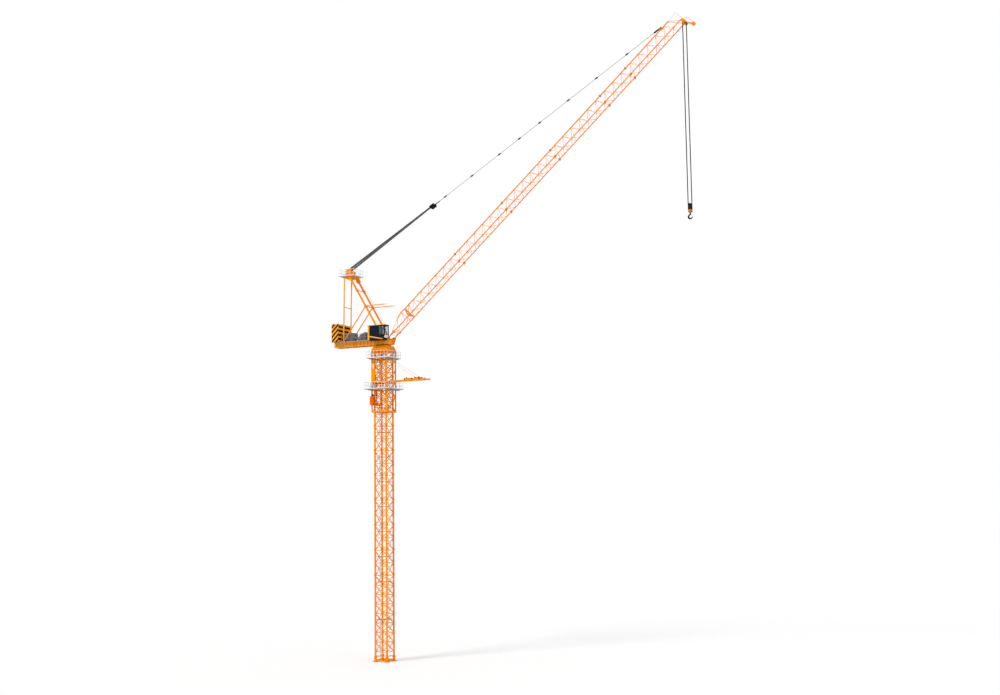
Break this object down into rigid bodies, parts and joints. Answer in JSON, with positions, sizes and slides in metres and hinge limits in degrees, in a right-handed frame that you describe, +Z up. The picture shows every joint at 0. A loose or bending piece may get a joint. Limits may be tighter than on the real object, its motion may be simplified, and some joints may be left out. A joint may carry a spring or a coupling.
{
  "type": "1:10 scale model of a luffing-jib tower crane",
  "caption": "Luffing-jib tower crane on a tall lattice mast, with climbing cage, cab, A-frame, counterweight, winches and hook block, as a scale model.",
  "frame": {"origin": "centre of the mast on the flat underside of its anchored feet", "axes": "+X the way the jib points, +Y the side away from the cab, +Z up the mast"},
  "size_m": [5.7928, 0.4595, 8.8096],
  "materials": {
    "orange_paint": "satin paint",
    "jib_orange_paint": "satin paint",
    "galvanised_steel": "dull zinc",
    "rope_steel": "oiled wire",
    "dark_steel": "dark paint",
    "red_paint": "gloss paint",
    "winch_grey": "grey paint",
    "drum_grey": "blue-grey paint",
    "hazard_paint": "amber with dark stripes",
    "pale_paint": "pale enamel",
    "cab_navy": "dark navy paint",
    "cab_amber": "amber paint",
    "cab_glass": "tinted",
    "seat_fabric": "woven",
    "hook_black": "black paint"
  },
  "bodies": {
    "tower": {"base_frame": "orange_paint", "mast_base_section": "orange_paint", "mast_shaft_lower": "orange_paint", "mast_shaft_middle": "orange_paint", "mast_shaft_upper": "orange_paint", "mast_access": "galvanised_steel", "climbing_cage": "orange_paint", "cage_plate": "galvanised_steel", "lower_deck": "galvanised_steel", "upper_deck": "galvanised_steel", "climbing_ram": "red_paint", "climbing_yoke": "red_paint", "hydraulic_unit": "red_paint", "control_box": "pale_paint", "section_beam": "orange_paint", "slewing_base": "orange_paint"},
    "section_trolley": {"section_trolley": "orange_paint"},
    "superstructure": {"counter_jib": "orange_paint", "side_walkway": "galvanised_steel", "counterweight": "hazard_paint", "luffing_winch": "winch_grey", "hoist_winch": "winch_grey", "electric_cabinet": "winch_grey", "aframe_front_legs": "orange_paint", "aframe_rear_legs": "orange_paint", "aframe_head": "orange_paint", "head_deck": "galvanised_steel", "backstop_arms": "orange_paint", "cab_shell": "cab_navy", "cab_near_glass": "cab_glass", "cab_inner_glass": "cab_glass", "cab_front_glass": "cab_glass", "cab_seat": "seat_fabric", "cab_roof": "cab_amber"},
    "luffing_drum": {"luffing_drum": "drum_grey"},
    "hoist_drum": {"hoist_drum": "drum_grey"},
    "jib": {"jib_heel": "jib_orange_paint", "jib_section_1": "jib_orange_paint", "jib_section_2": "jib_orange_paint", "jib_section_3": "jib_orange_paint", "jib_section_4": "jib_orange_paint", "jib_section_5": "jib_orange_paint", "jib_head": "jib_orange_paint", "tip_sheaves": "jib_orange_paint"},
    "pendants": {"pendant_line": "rope_steel", "travelling_block": "dark_steel"},
    "luffing_tackle": {"luffing_ropes": "rope_steel"},
    "hoist_line": {"hoist_ropes": "rope_steel"},
    "hook_block": {"hook_block": "orange_paint"},
    "hook": {"hook": "hook_black"}
  },
  "joints": [
    {"name": "slew", "type": "hinge", "parent": "tower", "child": "superstructure", "pos_m": [0, 0, 4.61], "axis": [0, 0, 1], "continuous": true},
    {"name": "luff", "type": "hinge", "parent": "superstructure", "child": "jib", "pos_m": [0.141, 0, 4.72], "axis": [0, -1, 0], "range_deg": [-26, 39]},
    {"name": "pendant_pin", "type": "hinge", "parent": "jib", "child": "pendants", "pos_m": [4.47005, 0, 8.72699], "axis": [0, -1, 0], "range_deg": [-5, 5]},
    {"name": "luffing_reeve", "type": "slide", "parent": "pendants", "child": "luffing_tackle", "axis": [0.8646, 0, 0.5024], "range_m": [-0.58957, 0.85316], "deforming": ["luffing_ropes"]},
    {"name": "hoist_line_hang", "type": "hinge", "parent": "jib", "child": "hoist_line", "pos_m": [4.8135, 0, 8.75259], "axis": [0, -1, 0], "range_deg": [-40, 27]},
    {"name": "hoist", "type": "slide", "parent": "hoist_line", "child": "hook_block", "axis": [0, 0, 1], "range_m": [-3.4, 2.1], "deforming": ["hoist_ropes"]},
    {"name": "hook_swivel", "type": "hinge", "parent": "hook_block", "child": "hook", "pos_m": [4.8135, 0, 6.09], "axis": [0, 0, 1], "continuous": true},
    {"name": "luffing_drum_spin", "type": "hinge", "parent": "superstructure", "child": "luffing_drum", "pos_m": [-0.628, 0, 4.752], "axis": [0, 1, 0], "continuous": true},
    {"name": "hoist_drum_spin", "type": "hinge", "parent": "superstructure", "child": "hoist_drum", "pos_m": [-0.352, 0, 4.76], "axis": [0, 1, 0], "continuous": true},
    {"name": "trolley_travel", "type": "slide", "parent": "tower", "child": "section_trolley", "axis": [1, 0, 0], "range_m": [-0.2, 0.03]}
  ],
  "couplings": [
    {"joint": "pendant_pin", "follows": "luff", "ratio": 0.01929},
    {"joint": "luffing_reeve", "follows": "luff", "m_per_rad": 1.2188},
    {"joint": "hoist_line_hang", "follows": "luff", "ratio": -1}
  ]
}
